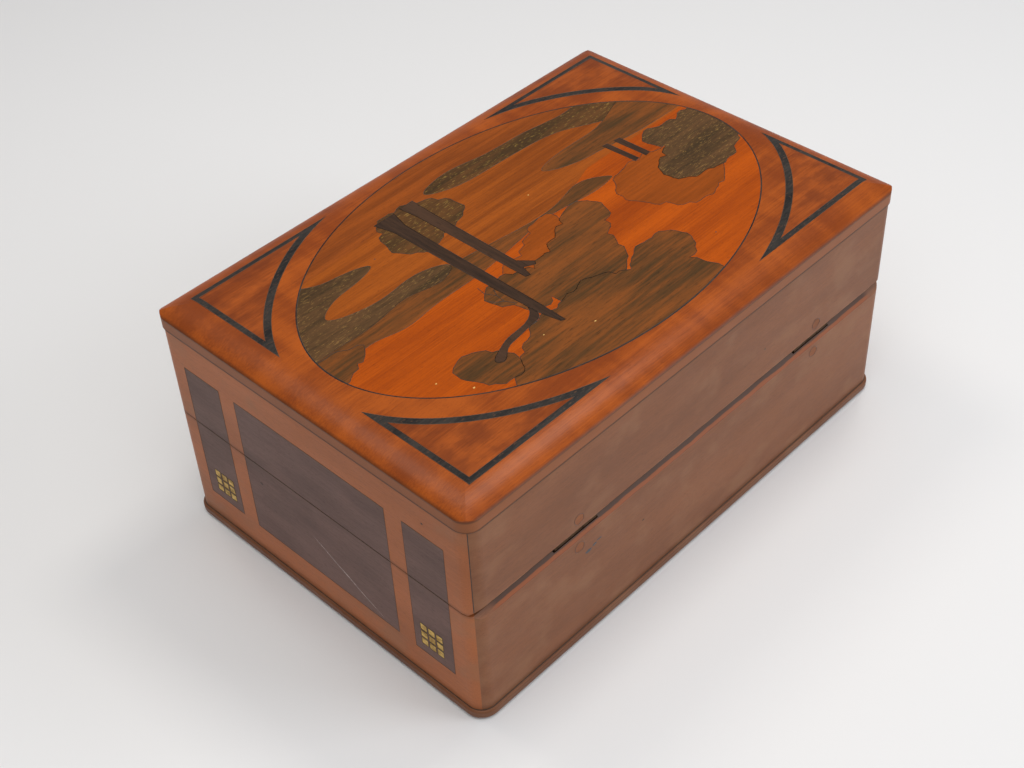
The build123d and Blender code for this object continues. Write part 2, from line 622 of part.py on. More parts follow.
def save_top():
    """The top board, pocketed for its inlay, and the inlay."""
    blank = top_blank()
    whole, fillings, strings = corner_faces()
    pocket = extrude(whole, 5) + extrude(oval(OVAL_CENTRE, OVAL_HALF), 5)
    save("top_board", blank - Pos(0, 0, VENEER_Z) * pocket)
    save("corner_fillings", *[veneer & blank for veneer in veneers(fillings)])
    save("corner_stringing", *[veneer & blank for veneer in veneers(strings)])
    for name, pieces in picture().items():
        save(name, *pieces)


def main():
    os.makedirs("parts", exist_ok=True)
    panels = case_panels()
    save_walls(panels)
    for name, pieces in {**panels, **hinge_parts()}.items():
        save(name, *pieces)
    save_top()
    save("lock_bar", lock_bar())
    save("lock_hooks", *lock_hooks())
    save("finger_slide", finger_slide())
    save("finger_pad", finger_pad())
    save("keeper_pins", *keeper_pins())
    save("key_panel", key_panel())
    save("key_arm", key_arm())
    save("bottom_board", bottom_board())
    save("floor_runners", *floor_runners())
    save("floor_panel", floor_panel())
    save("lock_cover", lock_cover())


main()
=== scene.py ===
import random
from math import cos, pi, radians, sin

import bmesh
import bpy
from mathutils import Matrix, Vector


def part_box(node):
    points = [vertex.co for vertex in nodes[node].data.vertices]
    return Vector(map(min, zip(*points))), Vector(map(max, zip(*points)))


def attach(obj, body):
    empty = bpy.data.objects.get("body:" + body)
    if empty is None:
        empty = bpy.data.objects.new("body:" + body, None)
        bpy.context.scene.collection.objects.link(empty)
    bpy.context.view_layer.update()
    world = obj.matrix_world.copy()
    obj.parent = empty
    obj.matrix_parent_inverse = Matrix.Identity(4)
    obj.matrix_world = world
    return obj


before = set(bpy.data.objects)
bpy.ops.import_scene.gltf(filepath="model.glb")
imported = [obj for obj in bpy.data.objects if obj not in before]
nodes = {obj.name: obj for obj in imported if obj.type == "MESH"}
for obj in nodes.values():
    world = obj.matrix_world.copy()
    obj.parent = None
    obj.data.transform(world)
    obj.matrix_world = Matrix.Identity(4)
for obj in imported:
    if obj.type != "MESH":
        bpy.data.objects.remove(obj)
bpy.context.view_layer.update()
mm = 0.001
print("frame loaded:", len(nodes), "nodes")


# places on the box that several pieces share

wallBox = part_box("lid_back_wall")
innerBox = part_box("floor_panel")      # as wide and deep as the hollow
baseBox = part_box("base_back_wall")
seamZ = (wallBox[0].z + baseBox[1].z) / 2
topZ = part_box("top_board")[1].z
halfX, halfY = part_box("base_right_wall")[1].x, baseBox[1].y
wallTopZ = wallBox[1].z
cornerR = 4.0 * mm
bandHigh = 3.1 * mm       # upright part of the top board's edge

right = Vector((1, 0, 0))
front = Vector((0, -1, 0))
rearward = Vector((0, 1, 0))
up = Vector((0, 0, 1))


# shared helpers for shader graphs

def newMaterial(name):
    material = bpy.data.materials.new(name)
    material.use_nodes = True
    tree = material.node_tree
    return material, tree, tree.nodes["Principled BSDF"]


def addNode(tree, kind, settings=None, inputs=None):
    node = tree.nodes.new(kind)
    for key, value in (settings or {}).items():
        setattr(node, key, value)
    for key, value in (inputs or {}).items():
        if isinstance(value, bpy.types.NodeSocket):
            tree.links.new(value, node.inputs[key])
        else:
            node.inputs[key].default_value = value
    return node


def calc(tree, operation, a, b=None, clamp=False):
    inputs = {0: a} if b is None else {0: a, 1: b}
    settings = {"operation": operation, "use_clamp": clamp}
    return addNode(tree, "ShaderNodeMath", settings, inputs).outputs[0]


def times(tree, a, b):
    return calc(tree, "MULTIPLY", a, b)


def plus(tree, a, b, clamp=False):
    return calc(tree, "ADD", a, b, clamp)


def minus(tree, a, b):
    return calc(tree, "SUBTRACT", a, b)


def below(tree, a, b):
    return calc(tree, "LESS_THAN", a, b)


def above(tree, a, b):
    return calc(tree, "GREATER_THAN", a, b)


def apart(tree, a, b):
    return calc(tree, "ABSOLUTE", minus(tree, a, b))


def between(tree, value, low, high):
    # rises softly from 0 at low to 1 at high, and low may be the larger
    settings = {"interpolation_type": "SMOOTHSTEP"}
    inputs = {"Value": value, "From Min": low, "From Max": high}
    return addNode(tree, "ShaderNodeMapRange", settings, inputs).outputs[0]


def blendColour(tree, factor, a, b):
    node = tree.nodes.new("ShaderNodeMix")
    node.data_type = "RGBA"
    node.clamp_factor = True
    for index, value in ((0, factor), (6, a), (7, b)):      # the colour sockets of this node
        if isinstance(value, bpy.types.NodeSocket):
            tree.links.new(value, node.inputs[index])
        elif index == 0:
            node.inputs[index].default_value = value
        else:
            node.inputs[index].default_value = (*value, 1)
    return node.outputs[2]


def grainNoise(tree, coords, size, grain, detail=3.0, offset=0.0, rough=0.55):
    # size is (length along the grain, width across it) in mm
    along, across = 1 / (size[0] * mm), 1 / (size[1] * mm)
    scale = [along if axis == grain else across for axis in "XYZ"]
    inputs = {"Vector": coords, "Location": (offset, offset * 0.7, offset * 1.3), "Scale": scale}
    mapped = addNode(tree, "ShaderNodeMapping", {"vector_type": "POINT"}, inputs).outputs[0]
    inputs = {"Vector": mapped, "Scale": 1.0, "Detail": detail, "Roughness": rough}
    return addNode(tree, "ShaderNodeTexNoise", {}, inputs).outputs["Fac"]


# woods: one shader, one set of values for each veneer

woodLook = {
    "grain": "X",
    "dark": (0.20, 0.07, 0.02),
    "light": (0.42, 0.15, 0.04),
    "figure": (60.0, 7.0),        # broad soft bands
    "streak": (16.0, 0.9),        # annual lines
    "pore": (2.2, 0.16),          # short dark pores
    "poreDark": 0.35,
    "fleck": 0.0,                 # gold flecks
    "fleckColour": (0.45, 0.30, 0.07),
    "fleckSize": (1.5, 0.3),
    "ripple": 0.0,                # soft bands across the grain
    "rough": (0.38, 0.50),
    "coat": 0.05,
    "coatRough": 0.24,
    "specular": 0.10,
    "bump": 0.12,
    "offset": 0.0,
}

# how the layers of every wood are mixed
grainMix = {
    "figureShare": 0.55,
    "streakShare": 0.45,
    "toneRange": (0.34, 0.66),
    "poreRange": (0.56, 0.70),
    "poreTone": 0.35,             # part of the dark colour that is left in a pore
    "poreDip": 0.8,
    "fleckRange": (0.60, 0.68),
    "rippleSize": (30.0, 5.0),
    "smudgeSize": (9.0, 7.0),
    "bumpHigh": 0.2 * mm,
}


def wood(name, shade=None, **changes):
    look = {**woodLook, **changes}
    material, tree, bsdf = newMaterial(name)
    coords = addNode(tree, "ShaderNodeTexCoord").outputs["Object"]
    grain, offset = look["grain"], look["offset"]
    # each layer has its own shift, so that no two layers line up
    figure = grainNoise(tree, coords, look["figure"], grain, detail=2.0, offset=offset)
    streak = grainNoise(tree, coords, look["streak"], grain, detail=4.0, offset=offset + 3.1, rough=0.65)
    pore = grainNoise(tree, coords, look["pore"], grain, detail=2.0, offset=offset + 7.7)
    tone = plus(tree, times(tree, figure, grainMix["figureShare"]),
                times(tree, streak, grainMix["streakShare"]))
    if look["ripple"]:
        across = "Y" if grain == "X" else "X"
        band = grainNoise(tree, coords, grainMix["rippleSize"], across, detail=1.0, offset=offset + 1.7)
        tone = plus(tree, tone, times(tree, minus(tree, band, 0.5), look["ripple"]))
    colour = blendColour(tree, between(tree, tone, *grainMix["toneRange"]), look["dark"], look["light"])
    poreMask = times(tree, between(tree, pore, *grainMix["poreRange"]), look["poreDark"])
    darker = tuple(grainMix["poreTone"] * value for value in look["dark"])
    colour = blendColour(tree, poreMask, colour, darker)
    if look["fleck"]:
        spots = grainNoise(tree, coords, look["fleckSize"], grain, detail=2.0, offset=offset + 12.3)
        mask = times(tree, between(tree, spots, *grainMix["fleckRange"]), look["fleck"])
        colour = blendColour(tree, mask, colour, look["fleckColour"])
    if shade:
        colour = shade(tree, coords, colour, look)
    tree.links.new(colour, bsdf.inputs["Base Color"])
    smudge = grainNoise(tree, coords, grainMix["smudgeSize"], grain, offset=offset + 20.0)
    low, high = look["rough"]
    tree.links.new(plus(tree, times(tree, smudge, high - low), low), bsdf.inputs["Roughness"])
    height = minus(tree, streak, times(tree, poreMask, grainMix["poreDip"]))
    inputs = {"Height": height, "Strength": look["bump"], "Distance": grainMix["bumpHigh"]}
    bump = addNode(tree, "ShaderNodeBump", {}, inputs)
    tree.links.new(bump.outputs[0], bsdf.inputs["Normal"])
    bsdf.inputs["Specular IOR Level"].default_value = look["specular"]
    bsdf.inputs["Coat Weight"].default_value = look["coat"]
    bsdf.inputs["Coat Roughness"].default_value = look["coatRough"]
    return material


bareLook = {
    "dark": (0.34, 0.17, 0.065),      # unvarnished wood inside the box
    "light": (0.50, 0.28, 0.12),
    "streak": (30.0, 1.1),
    "toneRange": (0.36, 0.64),
    "slack": 0.1 * mm,                # beyond the hollow's own faces
}


def bareWood(tree, coords, grain):
    streak = grainNoise(tree, coords, bareLook["streak"], grain, detail=4.0, offset=71.0, rough=0.6)
    tone = between(tree, streak, *bareLook["toneRange"])
    return blendColour(tree, tone, bareLook["dark"], bareLook["light"])


def hollowMask(tree, x, y):
    # the faces towards the hollow, seen from above
    slack = bareLook["slack"]
    return times(tree, below(tree, x, innerBox[1].x + slack), below(tree, y, innerBox[1].y + slack))


caseShade = {
    # this colour paints three things: painted shade with grime above the bottom board's ledge, the dark
    # seam, and painted shadow under the top board's overhang
    "grimeAndShade": (0.06, 0.022, 0.010),
    "ledgeShadeAndGrime": (5.5 * mm, 2.6 * mm),    # heights above the table
    "ledgeShadeAndGrimeAmount": 0.35,
    "grimeSeam": (1.2 * mm, 0.1 * mm),      # distances from the joint
    "seamAmount": 0.40,
    "overhangShadow": (0.9 * mm, 0.1 * mm),
    "overhangShadowAmount": 0.35,
    "handled": (0.30, 0.135, 0.062),        # paler where hands have worn the varnish
    "handledSize": (14.0, 10.0),
    "handledRange": (0.48, 0.70),
    "handledAmount": 0.45,
}

grooveShade = {
    # painted shade with some dirt, deep in the groove under the lid's arris
    "shadeAndDirt": (0.075, 0.026, 0.008),
    "bevel": (0.30, 0.072, 0.012),    # painted lit orange, only on the outer half of the base's bevel
    "outer": (0.02 * mm, 0.10 * mm),
    "deep": 3.0 * mm,
    "low": -1.7 * mm,                 # from the seam
    "rise": 2.3 * mm,                 # the lid's arris above the seam
    "ends": (5.0 * mm, 8.0 * mm),
    "ragged": 0.5 * mm,
    "raggedSize": (6.0, 3.0),
    "shadeDepth": 0.72 * mm,           # the painted shade reaches from here inwards
    "shadeSoft": 0.10 * mm,
    "arris": (0.22 * mm, 0.02 * mm),
    "arrisDark": 0.6,
    "amount": 0.95,
    "wornGleam": (0.50, 0.25, 0.13),     # the lid's arris, worn bare in patches and painted with a highlight
    "wornGleamDeep": 0.3 * mm,
    "wornGleamRange": (0.42, 0.56),
    "wornGleamAmount": 0.7,
}


def shadeGroove(tree, coords, colour, grain, x, y, z):
    # painted shade with some dirt in the V groove along the hinges, under the lid's arris, with the outer
    # half of the base's bevel painted lit orange
    look = grooveShade
    depth, height = minus(tree, halfY, y), minus(tree, z, seamZ)
    along = between(tree, x, halfX - look["ends"][0], halfX - look["ends"][1])
    across = times(tree, between(tree, depth, *look["outer"]), below(tree, depth, look["deep"]))
    high = below(tree, height, look["rise"] + 0.1 * mm)
    groove = times(tree, times(tree, across, along), times(tree, above(tree, height, look["low"]), high))
    uneven = grainNoise(tree, coords, look["raggedSize"], grain, offset=61.0)
    edge = plus(tree, depth, times(tree, minus(tree, uneven, 0.5), look["ragged"]))
    # the inner half of the base's bevel and everything above the seam get painted shade with some dirt;
    # the outer half stays painted lit orange
    shadeAndDirtMask = between(tree, edge, look["shadeDepth"] - look["shadeSoft"], look["shadeDepth"] + look["shadeSoft"])
    arrisDark = times(tree, between(tree, edge, *look["arris"]), look["arrisDark"])
    shadeAndDirtMask = plus(tree, shadeAndDirtMask, arrisDark, True)
    shadeAndDirtMask = calc(tree, "MAXIMUM", shadeAndDirtMask, between(tree, height, 0.0, 0.1 * mm))
    bevel = blendColour(tree, shadeAndDirtMask, look["bevel"], look["shadeAndDirt"])
    colour = blendColour(tree, times(tree, groove, look["amount"]), colour, bevel)
    # the lid's arris: paler where worn bare in patches, with a painted highlight along it
    wornGleam = between(tree, apart(tree, height, look["rise"]), *look["arris"])
    wornGleam = times(tree, times(tree, wornGleam, along), below(tree, depth, look["wornGleamDeep"]))
    patchy = times(tree, between(tree, uneven, *look["wornGleamRange"]), look["wornGleamAmount"])
    return blendColour(tree, times(tree, wornGleam, patchy), colour, look["wornGleam"])


def shadeCase(tree, coords, colour, look):
    parts = addNode(tree, "ShaderNodeSeparateXYZ", {}, {0: coords}).outputs
    x, y, z = calc(tree, "ABSOLUTE", parts[0]), calc(tree, "ABSOLUTE", parts[1]), parts[2]
    # darker towards the bottom board: painted shade above its ledge, with grime; a dark line along the
    # seam's joint; painted shadow under the top board's overhang
    bottom = times(tree, between(tree, z, *caseShade["ledgeShadeAndGrime"]), caseShade["ledgeShadeAndGrimeAmount"])
    seam = between(tree, apart(tree, z, seamZ), *caseShade["grimeSeam"])
    seam = times(tree, seam, caseShade["seamAmount"])
    top = between(tree, apart(tree, z, wallTopZ), *caseShade["overhangShadow"])
    top = times(tree, top, caseShade["overhangShadowAmount"])
    grimeAndShade = plus(tree, plus(tree, bottom, seam, True), top, True)
    cloud = grainNoise(tree, coords, caseShade["handledSize"], look["grain"], offset=31.0)
    worn = times(tree, between(tree, cloud, *caseShade["handledRange"]), caseShade["handledAmount"])
    colour = blendColour(tree, worn, colour, caseShade["handled"])
    colour = blendColour(tree, grimeAndShade, colour, caseShade["grimeAndShade"])
    colour = shadeGroove(tree, coords, colour, look["grain"], x, parts[1], z)
    inside = times(tree, hollowMask(tree, x, y), above(tree, z, baseBox[0].z + bareLook["slack"]))
    return blendColour(tree, inside, colour, bareWood(tree, coords, look["grain"]))


rimShade = {
    # painted shade at the roll's arris, and the dark joint under the band
    "shadeAndDirt": (0.045, 0.018, 0.008),
    "pale": (0.27, 0.098, 0.037),     # the upright band under the roll
    "paleAmount": 0.8,
    "bandSoft": (0.2 * mm, -0.3 * mm),
    "arris": (0.60 * mm, 0.05 * mm),
    "jointHigh": 0.5 * mm,
    "shadeAndDirtAmount": 0.6,
    "underside": 0.05 * mm,
}


def shadeBoard(tree, coords, colour, look):
    parts = addNode(tree, "ShaderNodeSeparateXYZ", {}, {0: coords}).outputs
    x, y, z = calc(tree, "ABSOLUTE", parts[0]), calc(tree, "ABSOLUTE", parts[1]), parts[2]
    # a pale band, with painted shade under the roll's arris above it and a dark joint below
    edgeZ = wallTopZ + bandHigh
    band = between(tree, z, edgeZ + rimShade["bandSoft"][0], edgeZ + rimShade["bandSoft"][1])
    arris = between(tree, apart(tree, z, edgeZ), *rimShade["arris"])
    joint = between(tree, z, wallTopZ + rimShade["jointHigh"], wallTopZ)
    colour = blendColour(tree, times(tree, band, rimShade["paleAmount"]), colour, rimShade["pale"])
    for shadeAndDirtMask in (arris, joint):
        colour = blendColour(tree, times(tree, shadeAndDirtMask, rimShade["shadeAndDirtAmount"]), colour, rimShade["shadeAndDirt"])
    # the underside that shows inside the lid stays bare
    underside = times(tree, below(tree, z, wallTopZ + rimShade["underside"]), hollowMask(tree, x, y))
    return blendColour(tree, underside, colour, bareWood(tree, coords, look["grain"]))


cornerShade = {"scorch": (0.13, 0.026, 0.006), "size": (9.0, 5.0), "range": (0.62, 0.36), "amount": 0.6}


def shadeCorner(tree, coords, colour, look):
    # scorched in patches in hot sand, as marquetry makers shade a filling
    cloud = grainNoise(tree, coords, cornerShade["size"], look["grain"], offset=5.0)
    scorched = times(tree, between(tree, cloud, *cornerShade["range"]), cornerShade["amount"])
    return blendColour(tree, scorched, colour, cornerShade["scorch"])


# values that several woods share
wallFinish = {"figure": (60.0, 14.0), "streak": (7.0, 0.30), "pore": (1.1, 0.11), "poreDark": 0.38,
              "rough": (0.42, 0.54), "coat": 0.10, "coatRough": 0.30, "specular": 0.25}
leafFinish = {"figure": (30.0, 5.0), "pore": (2.4, 0.20), "poreDark": 0.50}
panelTone = {"dark": (0.138, 0.082, 0.069), "light": (0.200, 0.117, 0.099), "figure": (30.0, 9.0),
             "streak": (7.0, 0.35), "pore": (1.2, 0.14), "poreDark": 0.45, "rough": (0.46, 0.58),
             "coat": 0.08, "coatRough": 0.35}

materials = {
    "case": wood("case_wood", shadeCase, dark=(0.190, 0.066, 0.024), light=(0.262, 0.094, 0.035),
                 **wallFinish),
    "endCase": wood("end_case_wood", shadeCase, grain="Y", dark=(0.345, 0.102, 0.028),
                    light=(0.465, 0.140, 0.041), offset=4.0, **wallFinish),
    "board": wood("rim_wood", shadeBoard, dark=(0.215, 0.041, 0.004), light=(0.375, 0.080, 0.007),
                  ripple=0.40, figure=(70.0, 9.0), streak=(14.0, 0.35), pore=(1.3, 0.12), poreDark=0.38,
                  rough=(0.36, 0.48), coat=0.18, coatRough=0.26),
    "sky": wood("sky_veneer", dark=(0.27, 0.043, 0.0005), light=(0.46, 0.082, 0.001), figure=(70.0, 6.0),
                streak=(18.0, 0.32), pore=(1.6, 0.12), poreDark=0.42, offset=2.0),
    "lake": wood("lake_veneer", dark=(0.19, 0.043, 0.004), light=(0.345, 0.082, 0.007),
                 figure=(60.0, 3.0), streak=(18.0, 0.32), pore=(1.8, 0.13), poreDark=0.42, offset=9.0),
    "earth": wood("earth_veneer", dark=(0.165, 0.038, 0.005), light=(0.30, 0.070, 0.008),
                  figure=(50.0, 4.0), streak=(16.0, 0.35), pore=(1.8, 0.13), poreDark=0.42, offset=14.0),
    "corner": wood("corner_veneer", shadeCorner, dark=(0.19, 0.037, 0.005), light=(0.36, 0.080, 0.011),
                   figure=(40.0, 5.0), streak=(12.0, 0.4), poreDark=0.36, coat=0.14, coatRough=0.26,
                   offset=18.0),
    "trunk": wood("trunk_veneer", grain="Y", dark=(0.030, 0.017, 0.011), light=(0.072, 0.036, 0.020),
                  poreDark=0.5, offset=22.0),
    "brownLeaf": wood("brown_leaf_veneer", dark=(0.068, 0.034, 0.011), light=(0.225, 0.066, 0.012),
                      offset=25.0, **leafFinish),
    "darkLeaf": wood("dark_leaf_veneer", dark=(0.052, 0.028, 0.010), light=(0.125, 0.052, 0.015),
                     fleck=0.35, offset=28.0, **leafFinish),
    "goldFleckLeaf": wood("gold_fleck_veneer", dark=(0.050, 0.029, 0.012), light=(0.120, 0.058, 0.022),
                          fleck=0.60, fleckColour=(0.34, 0.20, 0.06), fleckSize=(1.5, 0.20), offset=31.0,
                          **leafFinish),
    "lightLeaf": wood("light_leaf_veneer", dark=(0.21, 0.046, 0.003), light=(0.34, 0.072, 0.005),
                      offset=34.0),
    "string": wood("black_string", dark=(0.010, 0.009, 0.009), light=(0.042, 0.036, 0.031), poreDark=0.4,
                   streak=(2.4, 0.5), fleck=0.5, fleckColour=(0.12, 0.060, 0.034), fleckSize=(1.1, 0.45),
                   rough=(0.40, 0.55), coat=0.25, coatRough=0.25, offset=38.0),
    "panel": wood("dark_panel_wood", grain="Y", offset=41.0, **panelTone),
    "frontPanel": wood("front_panel_wood", grain="X", offset=45.0, **panelTone),
    "gold": wood("gold_wood", grain="Y", dark=(0.34, 0.19, 0.04), light=(0.80, 0.53, 0.15),
                 figure=(2.6, 1.6), streak=(1.4, 0.3), poreDark=0.6, rough=(0.40, 0.5), coat=0.10,
                 coatRough=0.3, offset=48.0),
    "plug": wood("plug_wood", grain="X", dark=(0.19, 0.066, 0.026), light=(0.31, 0.11, 0.045),
                 streak=(5.0, 0.4), rough=(0.45, 0.55), coat=0.10, coatRough=0.3, offset=52.0),
    "inner": wood("inner_wood", dark=(0.36, 0.19, 0.075), light=(0.55, 0.33, 0.14), poreDark=0.3,
                  rough=(0.55, 0.7), coat=0.0, offset=55.0),
}


# colour and roughness of each metal
metalLook = {
    "brass": ((0.50, 0.34, 0.13), 0.34),
    "bronze": ((0.085, 0.050, 0.028), 0.50),      # hinges, gone brown under old varnish
    "steel": ((0.35, 0.34, 0.33), 0.40),
}
metalWear = {"tarnishSize": (3.0, 2.0), "tarnishRange": (0.45, 0.75), "tarnishTone": 0.35,
             "scratchSize": (4.0, 0.08), "scratchRough": 0.25, "bump": 0.2, "bumpHigh": 0.05 * mm}


def metal(name, colour, rough):
    material, tree, bsdf = newMaterial(name)
    coords = addNode(tree, "ShaderNodeTexCoord").outputs["Object"]
    tarnish = grainNoise(tree, coords, metalWear["tarnishSize"], "X", detail=4.0, offset=2.0)
    scratch = grainNoise(tree, coords, metalWear["scratchSize"], "X", detail=2.0, offset=6.0)
    dull = tuple(metalWear["tarnishTone"] * value for value in colour)
    shown = blendColour(tree, between(tree, tarnish, *metalWear["tarnishRange"]), colour, dull)
    tree.links.new(shown, bsdf.inputs["Base Color"])
    bsdf.inputs["Metallic"].default_value = 1.0
    roughness = plus(tree, times(tree, scratch, metalWear["scratchRough"]), rough - 0.1)
    tree.links.new(roughness, bsdf.inputs["Roughness"])
    inputs = {"Height": scratch, "Strength": metalWear["bump"], "Distance": metalWear["bumpHigh"]}
    bump = addNode(tree, "ShaderNodeBump", {}, inputs)
    tree.links.new(bump.outputs[0], bsdf.inputs["Normal"])
    return material


for metalName, (colour, rough) in metalLook.items():
    materials[metalName] = metal(metalName, colour, rough)


# colour and roughness of thin lines and small marks
markLook = {
    "line": ((0.030, 0.017, 0.010), 0.55),
    "softLine": ((0.070, 0.036, 0.018), 0.5),
    "ring": ((0.105, 0.060, 0.050), 0.5),
    "knot": ((0.045, 0.020, 0.012), 0.55),
    "bruise": ((0.050, 0.050, 0.060), 0.5),
    "scuff": ((0.27, 0.21, 0.19), 0.6),
    "bare": ((0.60, 0.36, 0.10), 0.5),
}
markWear = {"patchSize": (1.2, 0.8), "patchRange": (0.42, 0.72), "pale": 1.9, "rough": 0.2}


def markMaterial(name, colour, rough):
    material, tree, bsdf = newMaterial(name)
    coords = addNode(tree, "ShaderNodeTexCoord").outputs["Object"]
    patch = grainNoise(tree, coords, markWear["patchSize"], "X", offset=1.0)
    paler = tuple(min(1.0, markWear["pale"] * value) for value in colour)
    shown = blendColour(tree, between(tree, patch, *markWear["patchRange"]), colour, paler)
    tree.links.new(shown, bsdf.inputs["Base Color"])
    roughness = plus(tree, times(tree, patch, markWear["rough"]), rough - 0.1)
    tree.links.new(roughness, bsdf.inputs["Roughness"])
    return material


for markName, (colour, rough) in markLook.items():
    materials[markName] = markMaterial("mark_" + markName, colour, rough)
print("materials made:", len(materials))


# which sub-parts each finish is on, and what isn't here is a dark panel or a grid of gold blocks

finishOf = {
    "case": ["base_front_wall", "base_back_wall", "lid_front_wall", "lid_back_wall", "bottom_board"],
    "endCase": ["base_left_wall", "base_right_wall", "lid_left_wall", "lid_right_wall"],
    "board": ["top_board"],
    "sky": ["sky"],
    "lake": ["lake"],
    "earth": ["foreground"],
    "brownLeaf": ["far_shore", "spit", "right_clump", "branch_leaves", "crown_leaves", "middle_leaves"],
    "darkLeaf": ["near_bank", "shrub"],
    "goldFleckLeaf": ["flecked_shore", "left_dark_crown"],
    "lightLeaf": ["light_leaves", "left_light_crown"],
    "trunk": ["short_trunk", "tall_trunk", "low_branch", "left_trunks"],
    "corner": ["corner_fillings"],
    "string": ["corner_stringing", "oval_stringing"],
    "inner": ["floor_panel", "floor_runners", "lock_cover", "lock_bar", "finger_slide", "key_arm"],
    "panel": ["finger_pad", "key_panel"],
    "frontPanel": ["front_lid_panels", "front_base_panels"],
    "plug": ["base_hinge_plugs", "lid_hinge_plugs"],
    "bronze": ["hinge_base_leaves", "hinge_lid_leaves", "hinge_pins"],
    "brass": ["keeper_pins", "lock_hooks"],
    "steel": ["base_leaf_pins", "lid_leaf_pins"],
}
woodOf = {nodeName: finish for finish, names in finishOf.items() for nodeName in names}

for nodeName, node in nodes.items():
    finish = woodOf.get(nodeName, "gold" if "gold" in nodeName else "panel")
    node.data.materials.clear()
    node.data.materials.append(materials[finish])
print("sub-parts finished")


# thin glue and dirt lines that follow the edges of the inlays

outlineRule = {"weld": 0.002 * mm, "sideFacing": 0.3, "topFacing": 0.5, "closed": 0.0001 * mm}


def outlineRuns(nodeName, outward):
    # the edges where a face that looks outward meets the side of the piece
    mesh = bmesh.new()
    mesh.from_mesh(nodes[nodeName].data)
    bmesh.ops.remove_doubles(mesh, verts=mesh.verts, dist=outlineRule["weld"])
    links = {}
    for edge in mesh.edges:
        if len(edge.link_faces) != 2:
            continue
        facing = sorted(face.normal.dot(outward) for face in edge.link_faces)
        if facing[0] < outlineRule["sideFacing"] and facing[1] > outlineRule["topFacing"]:
            a, b = edge.verts
            links.setdefault(a.index, []).append(b.index)
            links.setdefault(b.index, []).append(a.index)
    mesh.verts.ensure_lookup_table()
    places = {index: mesh.verts[index].co.copy() for index in links}
    mesh.free()
    runs = []
    while links:
        start = next(iter(links))
        run = [start]
        while links.get(run[-1]):
            here = run[-1]
            there = links[here].pop()
            links[there].remove(here)
            if not links[here]:
                del links[here]
            run.append(there)
        links = {index: near for index, near in links.items() if near}
        runs.append([places[index] for index in run])
    return runs


def allRuns(nodeNames, outward):
    return sum((outlineRuns(nodeName, outward) for nodeName in nodeNames), [])


def lineObject(name, runs, radius, material, body, closed=False):
    curve = bpy.data.curves.new(name, "CURVE")
    curve.dimensions = "3D"
    curve.bevel_depth = radius
    curve.bevel_resolution = 1
    curve.use_fill_caps = True
    for run in runs:
        joins = closed or (len(run) > 2 and (run[0] - run[-1]).length < outlineRule["closed"])
        points = run[:-1] if joins and not closed else run
        spline = curve.splines.new("POLY")
        spline.points.add(len(points) - 1)
        for point, place in zip(spline.points, points):
            point.co = (*place, 1)
        spline.use_cyclic_u = joins
    piece = bpy.data.objects.new(name, curve)
    bpy.context.scene.collection.objects.link(piece)
    piece.data.materials.append(materials[material])
    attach(piece, body)


pictureLines = {
    "radius": 0.075 * mm,
    "nodes": ["shrub", "branch_leaves", "crown_leaves", "middle_leaves", "light_leaves", "left_dark_crown",
              "left_light_crown", "right_clump", "tall_trunk", "short_trunk", "low_branch", "left_trunks"],
    "softRadius": 0.06 * mm,
    "softNodes": ["flecked_shore", "spit", "near_bank", "far_shore"],
    "cornerRadius": 0.07 * mm,
}
lineObject("leaf_outlines", allRuns(pictureLines["nodes"], up), pictureLines["radius"], "line", "lid")
lineObject("shore_outlines", allRuns(pictureLines["softNodes"], up), pictureLines["softRadius"],
           "softLine", "lid")
lineObject("corner_glue_lines", outlineRuns("corner_stringing", up), pictureLines["cornerRadius"],
           "softLine", "lid")

# thin twigs beside the tall trunk, in mm on the top
twigLook = {"radius": 0.11 * mm, "sink": 0.04 * mm}
twigs = [
    [(20.0, 12.4), (21.3, 9.8), (21.0, 7.2), (22.4, 4.6), (22.0, 2.0)],
    [(21.3, 9.8), (23.0, 8.6), (24.2, 6.4)],
    [(21.0, 7.2), (19.9, 5.0)],
]
twigRuns = [[Vector((x * mm, y * mm, topZ - twigLook["sink"])) for x, y in twig] for twig in twigs]
lineObject("twigs", twigRuns, twigLook["radius"], "line", "lid")

panelLines = {"radius": 0.06 * mm}
for body, groups in {"lid": ["lid_centre_panel", "lid_narrow_panels"],
                     "base": ["base_centre_panel", "base_narrow_panels"]}.items():
    for side, outward in (("right", right), ("left", -right)):
        # the key takes the place of one panel on the left
        present = [f"{side}_{group}" for group in groups if f"{side}_{group}" in nodes]
        lineObject(f"{side}_{body}_panel_lines", allRuns(present, outward), panelLines["radius"],
                   "softLine", body)
        if body == "base":
            lineObject(f"{side}_gold_lines", outlineRuns(f"{side}_gold_blocks", outward),
                       panelLines["radius"], "line", body)
    lineObject(f"front_{body}_panel_lines", outlineRuns(f"front_{body}_panels", front),
               panelLines["radius"], "softLine", body)


# dark lines round the top and bottom boards: painted shadow in the joint gaps under the top board's
# overhang and above the bottom board's ledge

def roundedLoop(alongX, alongY, radius, z, steps=8):
    points = []
    for quarter, (wayX, wayY) in enumerate(((1, 1), (-1, 1), (-1, -1), (1, -1))):
        for step in range(steps + 1):
            angle = pi / 2 * (quarter + step / steps)
            middle = (wayX * (alongX - radius), wayY * (alongY - radius))
            points.append(Vector((middle[0] + radius * cos(angle), middle[1] + radius * sin(angle), z)))
    return points


jointShadowLines = {"top": 0.15 * mm, "bottom": 0.16 * mm, "out": 0.08 * mm, "down": 0.10 * mm}
out = jointShadowLines["out"]
topLoop = roundedLoop(halfX + out, halfY + out, cornerR, wallTopZ - jointShadowLines["down"])
bottomLoop = roundedLoop(halfX, halfY, cornerR, baseBox[0].z)
